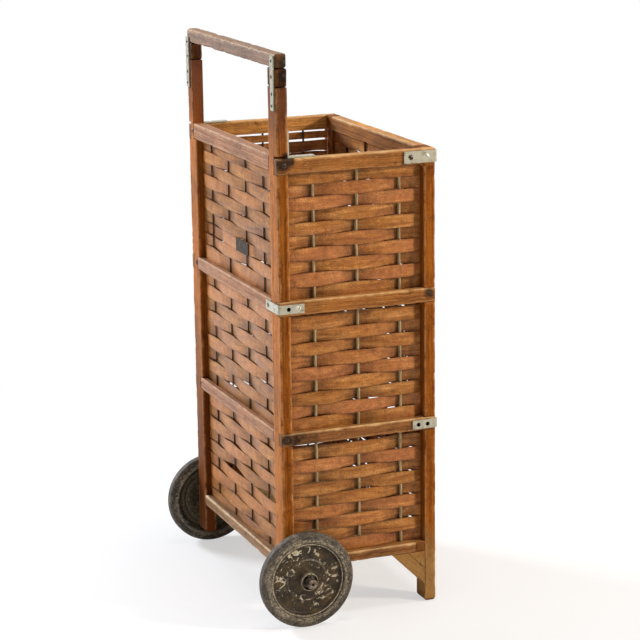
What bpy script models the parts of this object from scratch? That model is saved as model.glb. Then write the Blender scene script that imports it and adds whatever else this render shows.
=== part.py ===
"""Rolling basket cart: a tall splint-woven basket in a wooden frame, with a push handle and two wheels.

Metres, +Z up, +X towards the front legs, the handle and the wheels at -X. Origin at the bottom centre of the
whole cart.
"""
import math

import bmesh
import bpy
from mathutils import Matrix, Vector

for old in list(bpy.data.objects):
    bpy.data.objects.remove(old, do_unlink=True)

# Whole cart
cart_length = 0.2675
cart_width = 0.425
handle_rise = 0.1623
fit = 0.0003
edge_soften = 0.0013

# Corner posts
post_thick = 0.019
post_wide = 0.036
post_end_round = 0.006
rear_post_foot = 0.032
handle_post_relief = 0.0115
top_notch_slack = 0.0035

# Rails: the height of each rail's underside and its depth; the bottom ones are set over the axle's middle
side_rail_thick = 0.012
side_bed_thick = 0.024
end_rail_thick = 0.0094
end_rail_let_in = 0.008
side_levels = {"top": (0.7326, 0.0251), "upper": (0.5078, 0.0236), "lower": (0.2959, 0.0207)}
rear_levels = {"top": (0.7351, 0.0258), "upper": (0.5080, 0.0220), "lower": (0.2950, 0.0206)}
side_bottom_over_axle = 0.0096
side_bottom_deep = 0.0164
rear_bottom_over_axle = 0.0063
rear_bottom_deep = 0.0178
cross_rail_thick = 0.016

# Handle
handle_bar_deep = 0.0222
handle_end_round = 0.005
spacer_tall = 0.0292
spacer_round = 0.0028

# Leg braces
brace_foot = 0.030
brace_wide = 0.0195
brace_thick = 0.012

# Woven walls
wall_thick = 0.008
weave_relief = 0.0015
weave_rows = 28
weave_head_gap = 0.0025
side_stake_pitch = 0.0735
end_stake_pitch = 0.0828
stake_wide = 0.0045
stake_thick = 0.004
stake_behind_rail = 0.018

# Floor
floor_slats = 5
floor_slat_thick = 0.006
floor_slat_gap = 0.004
bolster_wide = 0.0255

# Wheels and axle
wheel_radius = 0.0787
tyre_wide = 0.0187
tyre_corner = 0.0045
tyre_deep = 0.0175
rim_lip = 0.0024
web_thick = 0.0034
web_recess = 0.0055
boss_radius = 0.0345
boss_rise = 0.0022
hub_radius = 0.0146
hub_wall = 0.0022
hub_stands_out = 0.0070
hub_stands_in = 0.0015
hub_pocket = 0.0090
axle_radius = 0.0080
axle_inset = 0.0294
axle_stands_out = 0.0210
wheel_gap = 0.0130
axle_dimple = 0.0034
washer_thick = 0.0015
pin_radius = 0.0015
pin_short = 0.0008
strap_thick = 0.002
strap_wide = 0.018
strap_ear = 0.0115
strap_inset = 0.060
turn_steps = 44

# Irons
iron_thick = 0.0022
iron_bend = 0.0026
iron_hole = 0.0020
iron_hole_inset = 0.0105
iron_near_hole = 0.0150
top_iron_tall = 0.0192
low_iron_tall = 0.0148
long_leaf = 0.0545
short_leaf = 0.0415
plate_wide = 0.013
plate_long = 0.0845
plate_inset_near = 0.0045
plate_inset_far = 0.0015
plate_drop_near = 0.0035
plate_drop_far = 0.0135
plate_hole_shares = (0.09, 0.31, 0.62, 0.91)
post_iron_wide = 0.0125
post_iron_up = 0.0425
post_iron_along = 0.0455
post_iron_inset = 0.0025

# Tag
tag_long = 0.058
tag_tall = 0.022
tag_thick = 0.0008
tag_middle_in = 0.1925
tag_foot = 0.574

rim_radius = wheel_radius - tyre_deep
side_levels["bottom"] = (wheel_radius + side_bottom_over_axle, side_bottom_deep)
rear_levels["bottom"] = (wheel_radius + rear_bottom_over_axle, rear_bottom_deep)
rear_reach = wheel_radius - axle_inset
x_rear = (rear_reach - cart_length - iron_thick - fit) / 2
x_front = x_rear + cart_length
half_width = cart_width / 2
x_axle = x_rear + axle_inset
bed_under = wheel_radius + axle_radius + fit
bed_top = sum(side_levels["bottom"])
top_of_side = sum(side_levels["top"])
handle_top = top_of_side + handle_rise
rear_post_top = handle_top - handle_bar_deep - spacer_tall - 2 * fit

parts = bpy.data.collections.new("rolling_basket_cart")
cutters = bpy.data.collections.new("cutters")
bpy.context.scene.collection.children.link(parts)
bpy.context.scene.collection.children.link(cutters)


def material(name, colour, metallic, roughness):
    """A Principled material with one colour."""
    mat = bpy.data.materials.new(name)
    mat.use_nodes = True
    shader = mat.node_tree.nodes["Principled BSDF"]
    shader.inputs["Base Color"].default_value = (*colour, 1)
    shader.inputs["Metallic"].default_value = metallic
    shader.inputs["Roughness"].default_value = roughness
    mat.diffuse_color = (*colour, 1)
    return mat


stained_wood = material("stained_wood", (0.30, 0.115, 0.030), 0.0, 0.55)
splint_wood = material("splint_wood", (0.42, 0.17, 0.050), 0.0, 0.60)
zinc_iron = material("zinc_iron", (0.48, 0.47, 0.39), 0.85, 0.45)
axle_steel = material("axle_steel", (0.14, 0.12, 0.10), 0.8, 0.55)
tyre_rubber = material("tyre_rubber", (0.060, 0.052, 0.042), 0.0, 0.80)
wheel_paint = material("wheel_paint", (0.070, 0.043, 0.018), 0.3, 0.60)
tag_metal = material("tag_metal", (0.052, 0.050, 0.050), 0.4, 0.60)


def add_object(name, data, mat, origin, collection=parts):
    """Link one object and move its origin without moving its shape."""
    if mat:
        data.materials.append(mat)
    data.transform(Matrix.Translation(-Vector(origin)))
    obj = bpy.data.objects.new(name, data)
    obj.location = origin
    collection.objects.link(obj)
    return obj


def box_mesh(name, x, y, z):
    """A mesh box between two values on each axis."""
    mesh = bpy.data.meshes.new(name)
    bm = bmesh.new()
    bmesh.ops.create_cube(bm, size=1)
    size = Vector((x[1] - x[0], y[1] - y[0], z[1] - z[0]))
    middle = Vector((sum(x), sum(y), sum(z))) / 2
    bmesh.ops.scale(bm, vec=size, verts=bm.verts)
    bmesh.ops.translate(bm, vec=middle, verts=bm.verts)
    bm.to_mesh(mesh)
    bm.free()
    return mesh, middle


def soften(obj, width=edge_soften):
    """Ease the piece's sharp edges."""
    bevel = obj.modifiers.new("ease", "BEVEL")
    bevel.width = width
    bevel.segments = 2
    bevel.limit_method = "ANGLE"
    bevel.angle_limit = math.radians(40)


def board(name, x, y, z, ease=edge_soften, ends=(), end_round=post_end_round):
    """A sawn board with eased edges; the edges that lie in the planes given in ends are rounded more."""
    mesh, middle = box_mesh(name, x, y, z)
    if ends:
        bm = bmesh.new()
        bm.from_mesh(mesh)
        edges = [e for e in bm.edges
                 if any(all(abs(v.co[axis] - value) < fit for v in e.verts) for axis, value in ends)]
        bmesh.ops.bevel(bm, geom=edges, offset=end_round, segments=4, profile=0.5, affect="EDGES")
        bm.to_mesh(mesh)
        bm.free()
    obj = add_object(name, mesh, stained_wood, middle)
    soften(obj, ease)
    return obj


def cut(target, cutter_mesh, label, operation="DIFFERENCE"):
    """Boolean one piece with a hidden cutter."""
    cutter = bpy.data.objects.new(f"{target.name}_{label}", cutter_mesh)
    cutters.objects.link(cutter)
    cutter.hide_render = True
    cutter.display_type = "WIRE"
    boolean = target.modifiers.new(label, "BOOLEAN")
    boolean.operation = operation
    boolean.solver = "EXACT"
    boolean.object = cutter


def cut_box(target, label, x, y, z):
    """Cut a box-shaped housing."""
    cut(target, box_mesh(f"{target.name}_{label}", x, y, z)[0], label)


def from_side(side, near, far):
    """The Y range between two depths in from the cart's outer face on one side."""
    return tuple(sorted((side * (half_width - near), side * (half_width - far))))


def from_end(end, near, far):
    """The X range between two depths in from the rear (-1) or the front (1) face."""
    face = x_front if end > 0 else x_rear
    return tuple(sorted((face - end * near, face - end * far)))


def level(pair, slack=0.0):
    """The Z range of a rail level, widened by a slack."""
    return pair[0] - slack, pair[0] + pair[1] + slack


sides = {"right": -1, "left": 1}
ends = {"rear": -1, "front": 1}
end_levels = {"rear": rear_levels, "front": side_levels}
past_post = post_wide

# Corner posts, notched for the side rails that cross them
for end_name, end in ends.items():
    for side_name, side in sides.items():
        foot = rear_post_foot if end < 0 else 0.0
        top = rear_post_top if end < 0 else top_of_side
        post = board(f"{end_name}_{side_name}_post", from_end(end, 0, post_thick),
                     from_side(side, 0, post_wide), (foot, top), ends=[(2, foot)])
        for level_name in ("top", "upper", "lower"):
            low, high = level(side_levels[level_name], fit)
            if level_name == "top":
                high = top_of_side + top_notch_slack if end < 0 else top_of_side + past_post
            cut_box(post, f"{level_name}_notch", from_end(end, -past_post, past_post),
                    from_side(side, -past_post, side_rail_thick + fit), (low, high))
        if end < 0 and side > 0:
            shoulder = rear_levels["top"][0] - fit
            cut_box(post, "handle_relief", from_end(end, -past_post, past_post),
                    from_side(side, post_wide - handle_post_relief, post_wide + past_post),
                    (shoulder, handle_top))
            for level_name in ("upper", "lower"):
                cut_box(post, f"end_{level_name}_notch", from_end(end, -past_post, end_rail_thick + fit),
                        from_side(side, post_wide - end_rail_let_in - fit, post_wide + past_post),
                        level(rear_levels[level_name], fit))

# Side rails, over both posts, and the thick bottom rails between the rear post and the cross rail
for side_name, side in sides.items():
    for level_name in ("top", "upper", "lower"):
        board(f"side_{level_name}_rail_{side_name}", (x_rear, x_front), from_side(side, 0, side_rail_thick),
              level(side_levels[level_name]))
    bed_x = (x_rear + post_thick + fit, x_front - post_thick - fit - cross_rail_thick - fit)
    board(f"side_bottom_rail_{side_name}", bed_x, from_side(side, 0, side_bed_thick),
          level(side_levels["bottom"]))

# End rails between the posts; the rear ones are let into the left post
for end_name, end in ends.items():
    for level_name, pair in end_levels[end_name].items():
        thick = post_thick if level_name in ("top", "bottom") else end_rail_thick
        let_in = 0.0
        if end < 0 and level_name == "top":
            let_in = handle_post_relief
        elif end < 0 and level_name != "bottom":
            let_in = end_rail_let_in
        reach = half_width - post_wide - fit
        board(f"{end_name}_{level_name}_rail", from_end(end, 0, thick), (-reach, reach + let_in),
              level(pair))

# Cross rail against the front legs and the bolster over the axle
cross_x = from_end(1, post_thick + fit, post_thick + fit + cross_rail_thick)
board("front_cross_rail", cross_x, (-half_width, half_width), level(side_levels["bottom"]))
bolster_y = half_width - side_bed_thick - fit
bolster_x = from_end(-1, post_thick + fit, post_thick + fit + bolster_wide)
board("axle_bolster", bolster_x, (-bolster_y, bolster_y), (bed_under, bed_top))

# Floor slats on the bolster and the cross rail
slat_x = (x_rear + post_thick + fit, x_front - post_thick - fit)
slat_room = cart_width - 2 * (side_rail_thick + wall_thick + 2 * fit) + floor_slat_gap
slat_step = slat_room / floor_slats
for i in range(floor_slats):
    y = -slat_room / 2 + i * slat_step + floor_slat_gap / 2
    board(f"floor_slat_{i + 1}", slat_x, (y, y + slat_step - floor_slat_gap),
          (bed_top + fit, bed_top + fit + floor_slat_thick))

# Handle bar on two spacer blocks
bar_z = (handle_top - handle_bar_deep, handle_top)
board("handle_bar", from_end(-1, 0, post_thick), (-half_width, half_width), bar_z, ease=edge_soften * 1.5,
      ends=[(1, -half_width), (1, half_width)], end_round=handle_end_round)
for side_name, side in sides.items():
    spacer_wide = post_wide if side < 0 else post_wide - handle_post_relief
    board(f"handle_spacer_{side_name}", from_end(-1, 0, post_thick), from_side(side, 0, spacer_wide),
          (rear_post_top + fit, bar_z[0] - fit), ease=spacer_round)


def outline_mesh(name, points, thick, holes=(), hole_radius=iron_hole):
    """A flat piece: a filled 2D curve with round holes, extruded to its thickness about z = 0."""
    curve = bpy.data.curves.new(name, "CURVE")
    curve.dimensions = "2D"
    curve.fill_mode = "BOTH"
    curve.extrude = thick / 2
    loops = [points]
    for hx, hy in holes:
        turns = [math.tau * k / 12 for k in range(12)]
        loops.append([(hx + hole_radius * math.cos(a), hy + hole_radius * math.sin(a)) for a in turns])
    for loop in loops:
        spline = curve.splines.new("POLY")
        spline.points.add(len(loop) - 1)
        spline.use_cyclic_u = True
        for point, (u, v) in zip(spline.points, loop):
            point.co = (u, v, 0, 1)
    helper = bpy.data.objects.new(name, curve)
    bpy.context.scene.collection.objects.link(helper)
    graph = bpy.context.evaluated_depsgraph_get()
    mesh = bpy.data.meshes.new_from_object(helper.evaluated_get(graph))
    bpy.data.objects.remove(helper)
    bpy.data.curves.remove(curve)
    mesh.name = name
    bm = bmesh.new()
    bm.from_mesh(mesh)
    bmesh.ops.remove_doubles(bm, verts=bm.verts, dist=fit / 10)
    bmesh.ops.recalc_face_normals(bm, faces=bm.faces)
    bm.to_mesh(mesh)
    bm.free()
    mesh.materials.clear()
    return mesh


def middle_of(mesh):
    """The middle of a mesh's box."""
    corners = [[f(v.co[axis] for v in mesh.vertices) for axis in range(3)] for f in (min, max)]
    return (Vector(corners[0]) + Vector(corners[1])) / 2


def place(name, mesh, mat, columns, offset):
    """Turn a piece's local axes into the given world axes, move it, and put its origin at its middle."""
    turn = Matrix(columns).transposed().to_4x4()
    mesh.transform(Matrix.Translation(offset) @ turn)
    if turn.determinant() < 0:
        mesh.flip_normals()
    return add_object(name, mesh, mat, middle_of(mesh))


# Knee braces and corner blocks between the cross rail and the front legs
bed_foot = side_levels["bottom"][0] - fit
leg_x = x_front - post_thick - fit
slope_low = leg_x + brace_foot
slope_high = slope_low + brace_wide * math.sqrt(2)
block_slope = slope_high + fit * math.sqrt(2)
brace_points = [(slope_low - bed_foot, bed_foot), (leg_x, brace_foot), (leg_x, slope_high - leg_x),
                (slope_high - bed_foot, bed_foot)]
block_points = [(block_slope - bed_foot, bed_foot), (leg_x, block_slope - leg_x), (leg_x, bed_foot)]
upright = ((1, 0, 0), (0, 0, 1), (0, -1, 0))
for side_name, side in sides.items():
    brace_y = side * (half_width - brace_thick / 2)
    for kind, points in (("knee_brace", brace_points), ("corner_block", block_points)):
        mesh = outline_mesh(kind, points, brace_thick)
        soften(place(f"{kind}_{side_name}", mesh, stained_wood, upright, (0, brace_y, 0)))


def woven_wall(name, width, foot, head, stakes, stake_pitch, stake_top, turn, offset):
    """One woven wall: splints that pass in front of and behind the stakes, with the stakes' heads above."""
    half = width / 2
    stake_u = [(k - (stakes - 1) / 2) * stake_pitch for k in range(stakes)]
    columns = [(-half, None)]
    for k, u in enumerate(stake_u):
        columns.append((u, k))
        if k < stakes - 1:
            columns.append((u + stake_pitch / 2, None))
    columns.append((half, None))
    row_tall = (head - foot) / weave_rows
    sheet = wall_thick / 2 - weave_relief
    mesh = bpy.data.meshes.new(name)
    bm = bmesh.new()
    seen = {}

    def corner(c, row, line, face):
        u, k = columns[c]
        lift = 0.0 if k is None else (weave_relief if (row + k) % 2 == 0 else -weave_relief)
        key = (c, line, round(lift / weave_relief), face)
        if key not in seen:
            seen[key] = bm.verts.new((u, -(lift + face * sheet), head - line * row_tall))
        return seen[key]

    def face_of(*corners):
        distinct = [v for i, v in enumerate(corners) if v is not corners[i - 1]]
        if len(distinct) > 2:
            bm.faces.new(distinct)

    last = len(columns) - 1
    for row in range(weave_rows):
        for face in (1, -1):
            for c in range(last):
                face_of(corner(c, row, row, face), corner(c, row, row + 1, face),
                        corner(c + 1, row, row + 1, face), corner(c + 1, row, row, face))
                if row:
                    face_of(corner(c, row - 1, row, face), corner(c, row, row, face),
                            corner(c + 1, row, row, face), corner(c + 1, row - 1, row, face))
        for c in (0, last):
            face_of(corner(c, row, row, 1), corner(c, row, row + 1, 1), corner(c, row, row + 1, -1),
                    corner(c, row, row, -1))
    for row, line in ((0, 0), (weave_rows - 1, weave_rows)):
        for c in range(last):
            face_of(corner(c, row, line, 1), corner(c + 1, row, line, 1), corner(c + 1, row, line, -1),
                    corner(c, row, line, -1))
    bmesh.ops.recalc_face_normals(bm, faces=bm.faces)
    bm.to_mesh(mesh)
    bm.free()
    place_at = Matrix.Translation(offset) @ Matrix.Rotation(turn, 4, "Z")
    mesh.transform(place_at)
    wall = add_object(name, mesh, splint_wood, place_at @ Vector((0, 0, (foot + head) / 2)))
    for k, u in enumerate(stake_u):
        tab, _ = box_mesh(f"{name}_stake_{k + 1}", (u - stake_wide / 2, u + stake_wide / 2),
                          (-stake_thick / 2, stake_thick / 2), (head - row_tall / 2, stake_top))
        tab.transform(place_at)
        cut(wall, tab, f"stake_{k + 1}", "UNION")


# Woven walls between the posts, behind the rails
wall_middle = wall_thick / 2 + fit
head_line = side_levels["top"][0] - weave_head_gap
side_wall_wide = cart_length - 2 * (post_thick + fit)
end_wall_wide = cart_width - 2 * (post_wide + fit)
for side_name, side in sides.items():
    woven_wall(f"woven_wall_{side_name}", side_wall_wide, bed_top + fit, head_line, 3, side_stake_pitch,
               side_levels["top"][0] + stake_behind_rail, math.pi * (side + 1) / 2,
               ((x_rear + x_front) / 2, side * (half_width - side_rail_thick - wall_middle), 0))
for end_name, end in ends.items():
    wall_x = sum(from_end(end, end_rail_thick + fit, end_rail_thick + fit + wall_thick)) / 2
    levels = end_levels[end_name]
    woven_wall(f"woven_wall_{end_name}", end_wall_wide, sum(levels["bottom"]) + fit,
               levels["top"][0] - weave_head_gap, 4, end_stake_pitch, levels["top"][0] - fit,
               end * math.pi / 2, (wall_x, 0, 0))


def corner_iron(name, end, side, rail, tall, along_side, along_end):
    """A bent strip screwed round a corner at a rail: one leaf on the side face and one on the end face."""
    t = iron_thick
    b = iron_bend
    points = [(0, -along_side), (0, 0), (-along_end, 0), (-along_end, t), (t - b, t)]
    turns = [math.pi / 8 * k for k in (1, 2, 3)]
    points += [(t - b + b * math.sin(a), t - b + b * math.cos(a)) for a in turns]
    points += [(t, t - b), (t, -along_side)]
    mesh = outline_mesh(name, points, tall)
    face_x = x_front if end > 0 else x_rear
    corner_at = Vector((face_x + end * fit, side * (half_width + fit), rail[0] + rail[1] / 2))
    axes = ((0, side, 0), (end, 0, 0), (0, 0, 1))
    iron = place(name, mesh, zinc_iron, axes, corner_at)
    drill = bpy.data.meshes.new(f"{name}_holes")
    bm = bmesh.new()
    for leaf, long in (("side", along_side), ("end", along_end)):
        for back in (iron_near_hole, long - iron_hole_inset):
            if leaf == "side":
                at = corner_at + Vector((-end * back, side * t / 2, 0))
                turn = Matrix.Rotation(math.pi / 2, 4, "X")
            else:
                at = corner_at + Vector((end * t / 2, -side * back, 0))
                turn = Matrix.Rotation(math.pi / 2, 4, "Y")
            bmesh.ops.create_cone(bm, cap_ends=True, segments=12, radius1=iron_hole, radius2=iron_hole,
                                  depth=4 * t, matrix=Matrix.Translation(at) @ turn)
    bm.to_mesh(drill)
    bm.free()
    cut(iron, drill, "holes")


# Bent irons round the corners at the rails
corner_iron("corner_iron_top", 1, -1, side_levels["top"], top_iron_tall, long_leaf, long_leaf)
corner_iron("corner_iron_upper_rear", -1, -1, side_levels["upper"], low_iron_tall, short_leaf, long_leaf)
corner_iron("corner_iron_upper_front", 1, 1, side_levels["upper"], low_iron_tall, short_leaf, long_leaf)
corner_iron("corner_iron_lower", 1, -1, side_levels["lower"], low_iron_tall, short_leaf, long_leaf)

# Straight mending plates across the handle joint, and bent irons from the handle posts to the top rails
plate_points = [(0, 0), (plate_wide, 0), (plate_wide, plate_long), (0, plate_long)]
plate_holes = [(plate_wide / 2, plate_long * share) for share in plate_hole_shares]
for side_name, side, inset, top in (("right", -1, plate_inset_near, handle_top - plate_drop_near),
                                    ("left", 1, plate_inset_far, handle_top - plate_drop_far)):
    plate = outline_mesh("plate", plate_points, iron_thick, plate_holes)
    place(f"mending_plate_{side_name}", plate, zinc_iron, ((0, -side, 0), (0, 0, 1), (1, 0, 0)),
          (x_rear - fit - iron_thick / 2, side * (half_width - inset), top - plate_long))
    leaf_x = x_rear + post_thick + fit
    leaf_z = top_of_side + fit
    bent = [(0, 0), (post_iron_along, 0), (post_iron_along, iron_thick), (iron_bend, iron_thick),
            (iron_thick, iron_bend), (iron_thick, post_iron_up), (0, post_iron_up)]
    place(f"post_bracket_{side_name}", outline_mesh("bent", bent, post_iron_wide), zinc_iron, upright,
          (leaf_x, side * (half_width - post_iron_inset - post_iron_wide / 2), leaf_z))

# Blank tag on the rear weave
tag_x = x_rear + end_rail_thick - tag_thick
tag_y = -half_width + tag_middle_in
tag_mesh, tag_at = box_mesh("tag", (tag_x, tag_x + tag_thick), (tag_y - tag_long / 2, tag_y + tag_long / 2),
                            (tag_foot, tag_foot + tag_tall))
add_object("tag", tag_mesh, tag_metal, tag_at)


def turned(name, profile, mat, side, middle_y, closed=True):
    """A turned piece about the axle line: profile points are (radius, distance outwards from middle_y)."""
    mesh = bpy.data.meshes.new(name)
    bm = bmesh.new()
    verts = [bm.verts.new((radius, side * out, 0)) for radius, out in profile]
    for a, b in zip(verts, verts[1:] + verts[:1] if closed else verts[1:]):
        bm.edges.new((a, b))
    bm.to_mesh(mesh)
    bm.free()
    mesh.materials.append(mat)
    obj = bpy.data.objects.new(name, mesh)
    obj.location = (x_axle, middle_y, wheel_radius)
    parts.objects.link(obj)
    screw = obj.modifiers.new("turn", "SCREW")
    screw.axis = "Y"
    screw.angle = math.tau
    screw.steps = turn_steps
    screw.render_steps = turn_steps
    screw.use_merge_vertices = True
    screw.merge_threshold = fit / 30
    screw.use_smooth_shade = True
    screw.use_normal_flip = side < 0
    return obj


# Axle with two cross-drilled ends, its straps, collars, washers and pins, and the wheels
tyre_half = tyre_wide / 2
wheel_y = half_width + wheel_gap + tyre_half
axle_end = wheel_y + tyre_half + axle_stands_out
hub_out = tyre_half + hub_stands_out
hub_in = -(tyre_half + hub_stands_in)
pocket_floor = hub_out - hub_pocket
pin_y = wheel_y + pocket_floor + fit + washer_thick + fit + pin_radius
pin_half = hub_radius - hub_wall - pin_short
axle_ease = axle_dimple / 2
axle_profile = [
    (0, axle_end - axle_dimple), (axle_dimple, axle_end), (axle_radius - axle_ease, axle_end),
    (axle_radius, axle_end - axle_ease), (axle_radius, -axle_end + axle_ease),
    (axle_radius - axle_ease, -axle_end), (axle_dimple, -axle_end), (0, -axle_end + axle_dimple)]
axle = turned("axle", axle_profile, axle_steel, 1, 0, closed=False)
for side_name, side in sides.items():
    for label, radius, long in (("pin_hole", pin_radius + fit, 3 * axle_radius),
                                ("pin", pin_radius, 2 * pin_half)):
        pin_mesh = bpy.data.meshes.new(f"{label}_{side_name}")
        bm = bmesh.new()
        at = Vector((x_axle, side * pin_y, wheel_radius))
        bmesh.ops.create_cone(bm, cap_ends=True, segments=16, radius1=radius, radius2=radius, depth=long,
                              matrix=Matrix.Translation(at))
        bm.to_mesh(pin_mesh)
        bm.free()
        if label == "pin_hole":
            cut(axle, pin_mesh, f"{label}_{side_name}")
        else:
            soften(add_object(f"cotter_pin_{side_name}", pin_mesh, zinc_iron, at), pin_radius / 3)

    bore = axle_radius + fit
    lip_out = tyre_half - tyre_corner / 2
    web_out = lip_out - web_recess
    boss_out = web_out + boss_rise
    web_in = web_out - web_thick
    tube_in = hub_radius - hub_wall
    ease = rim_lip / 2
    disc_profile = [
        (bore, pocket_floor), (tube_in, pocket_floor), (tube_in, hub_out), (hub_radius, hub_out),
        (hub_radius, boss_out + ease), (hub_radius + ease, boss_out), (boss_radius - ease, boss_out),
        (boss_radius + ease, web_out), (rim_radius - 2 * rim_lip, web_out),
        (rim_radius - rim_lip, lip_out - ease),
        (rim_radius - ease, lip_out), (rim_radius, lip_out - ease), (rim_radius, -lip_out + ease),
        (rim_radius - ease, -lip_out), (rim_radius - rim_lip, -lip_out + ease),
        (rim_radius - 2 * rim_lip, web_in),
        (hub_radius, web_in), (hub_radius, hub_in), (bore, hub_in)]
    turned(f"wheel_disc_{side_name}", disc_profile, wheel_paint, side, side * wheel_y)
    seat = rim_radius + fit
    c = tyre_corner
    arc = [(wheel_radius - c + c * math.sin(a), tyre_half - c + c * math.cos(a))
           for a in (0, math.pi / 6, math.pi / 3)]
    crown = [(wheel_radius, tyre_half - c), (wheel_radius, -(tyre_half - c))]
    lower = [(radius, -out) for radius, out in reversed(arc)]
    tyre_profile = [(seat, tyre_half - c / 2), (seat + c / 2, tyre_half), *arc, *crown, *lower,
                    (seat + c / 2, -tyre_half), (seat, -(tyre_half - c / 2))]
    turned(f"tyre_{side_name}", tyre_profile, tyre_rubber, side, side * wheel_y)
    washer_out = pocket_floor + fit
    washer_profile = [(bore, washer_out + washer_thick), (tube_in - fit, washer_out + washer_thick),
                      (tube_in - fit, washer_out), (bore, washer_out)]
    turned(f"outer_washer_{side_name}", washer_profile, zinc_iron, side, side * wheel_y)
    collar_out = hub_in - fit
    collar_in = half_width - wheel_y + fit
    collar_profile = [(bore, collar_out), (hub_radius, collar_out), (hub_radius, collar_in),
                      (bore, collar_in)]
    turned(f"axle_collar_{side_name}", collar_profile, axle_steel, side, side * wheel_y)

    inner = axle_radius + fit
    outer = inner + strap_thick
    front_ear = bed_under - fit - wheel_radius
    rear_ear = rear_levels["bottom"][0] - fit - wheel_radius
    turns = [math.pi * k / 8 for k in range(9)]
    strap_points = [(-outer - strap_ear, rear_ear - strap_thick), (-outer, rear_ear - strap_thick)]
    strap_points += [(-outer * math.cos(a), -outer * math.sin(a)) for a in turns]
    strap_points += [(outer, front_ear - strap_thick), (outer + strap_ear, front_ear - strap_thick),
                     (outer + strap_ear, front_ear), (inner, front_ear)]
    strap_points += [(inner * math.cos(a), -inner * math.sin(a)) for a in turns]
    strap_points += [(-inner, rear_ear), (-outer - strap_ear, rear_ear)]
    place(f"axle_strap_{side_name}", outline_mesh("strap", strap_points, strap_wide), zinc_iron, upright,
          (x_axle, side * (half_width - strap_inset), wheel_radius))
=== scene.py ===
"""Rolling basket cart: splint walls in a worn stained frame, zinc irons and old disc wheels."""

import functools
import math

import bmesh
import bpy
import numpy as np
from mathutils import Matrix, Vector


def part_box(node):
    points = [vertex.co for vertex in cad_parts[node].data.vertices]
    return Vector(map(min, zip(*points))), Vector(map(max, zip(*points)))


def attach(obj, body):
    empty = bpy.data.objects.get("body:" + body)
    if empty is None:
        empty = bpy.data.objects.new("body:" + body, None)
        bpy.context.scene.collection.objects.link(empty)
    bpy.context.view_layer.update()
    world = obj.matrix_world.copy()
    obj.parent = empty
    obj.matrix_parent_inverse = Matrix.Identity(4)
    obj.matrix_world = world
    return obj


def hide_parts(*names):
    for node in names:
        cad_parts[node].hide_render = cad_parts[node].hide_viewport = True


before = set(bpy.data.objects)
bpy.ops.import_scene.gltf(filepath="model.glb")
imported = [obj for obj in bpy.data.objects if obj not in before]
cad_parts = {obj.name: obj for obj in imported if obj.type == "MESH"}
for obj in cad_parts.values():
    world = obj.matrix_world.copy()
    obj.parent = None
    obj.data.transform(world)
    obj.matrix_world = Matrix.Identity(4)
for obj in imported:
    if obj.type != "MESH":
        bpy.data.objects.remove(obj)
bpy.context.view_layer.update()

# Wooden boards
# Posts, rails, handle, braces and floor: planed softwood and hardwood boards, stained brown long ago, worn
# pale on the edges by hands and ropes; the upper edges, and the faces turned up, back or inwards, are painted
# paler as well, partly as painted light. Each is swept along its length with uneven corners, then housed for
# the rails that cross it.
MM = 0.001
STATION = 4.0 * MM
FACE_STEP = 5 * MM
KNOT_STEP = 18 * MM
STRAIGHT_END = 30 * MM
HOUSING_FIT = 0.3 * MM


def srgb(text):
    """A linear colour from an sRGB hex string."""
    values = [int(text[i:i + 2], 16) / 255 for i in (1, 3, 5)]
    return tuple(v / 12.92 if v <= 0.04045 else ((v + 0.055) / 1.055) ** 2.4 for v in values) + (1.0,)


def feed(node, *values, **named):
    """Link or set a node's inputs, in order or by identifier with underscores. A # starts a colour."""
    sockets = {socket.identifier.replace(" ", "_"): socket for socket in node.inputs}
    pairs = [*zip(node.inputs, values), *((sockets[key], value) for key, value in named.items())]
    for socket, value in pairs:
        if isinstance(value, bpy.types.NodeSocket):
            node.id_data.links.new(value, socket)
        elif isinstance(value, str) and value.startswith("#"):
            socket.default_value = srgb(value)[:len(socket.default_value)]
        else:
            socket.default_value = value


def put(tree, kind, *values, out=0, stops=(), **named):
    """Add a node and return the output or outputs asked for.

    The kind may end in .OPERATION. A keyword with a capital is an input, others are properties.
    """
    kind, _, operation = kind.partition(".")
    node = tree.nodes.new(kind if kind.startswith("Geometry") else f"ShaderNode{kind}")
    if operation:
        node.operation = operation
    for key in [key for key in named if key[0].islower()]:
        setattr(node, key, named.pop(key))
    feed(node, *values, **named)
    while stops and len(node.color_ramp.elements) < len(stops):
        node.color_ramp.elements.new(0.5)
    for k, (position, colour) in enumerate(stops):
        element = node.color_ramp.elements[k]
        element.position = position
        element.color = srgb(colour) if isinstance(colour, str) else (colour,) * 3 + (1.0,)
    return node.outputs[out]


def material(name):
    """A new Principled material: itself, the function that adds nodes to it, and its shader."""
    mat = bpy.data.materials.new(name)
    mat.use_nodes = True
    return mat, functools.partial(put, mat.node_tree), mat.node_tree.nodes["Principled BSDF"]


def weighed(node, *pairs):
    """The sum of values, each times its weight."""
    total = 0.0
    for value, weight in pairs:
        total = node("Math.MULTIPLY_ADD", value, weight, total)
    return total


def coated(node, colour, *layers):
    """Lay layers over a colour: a value with a list of stops multiplies it, a share of a colour covers it."""
    for value, layer in layers:
        if isinstance(layer, list):
            colour = node("VectorMath.MULTIPLY", colour, node("ValToRGB", value, stops=layer))
        else:
            colour = node("Mix", value, data_type="RGBA", A_Color=colour, B_Color=layer, out=2)
    return colour


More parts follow.
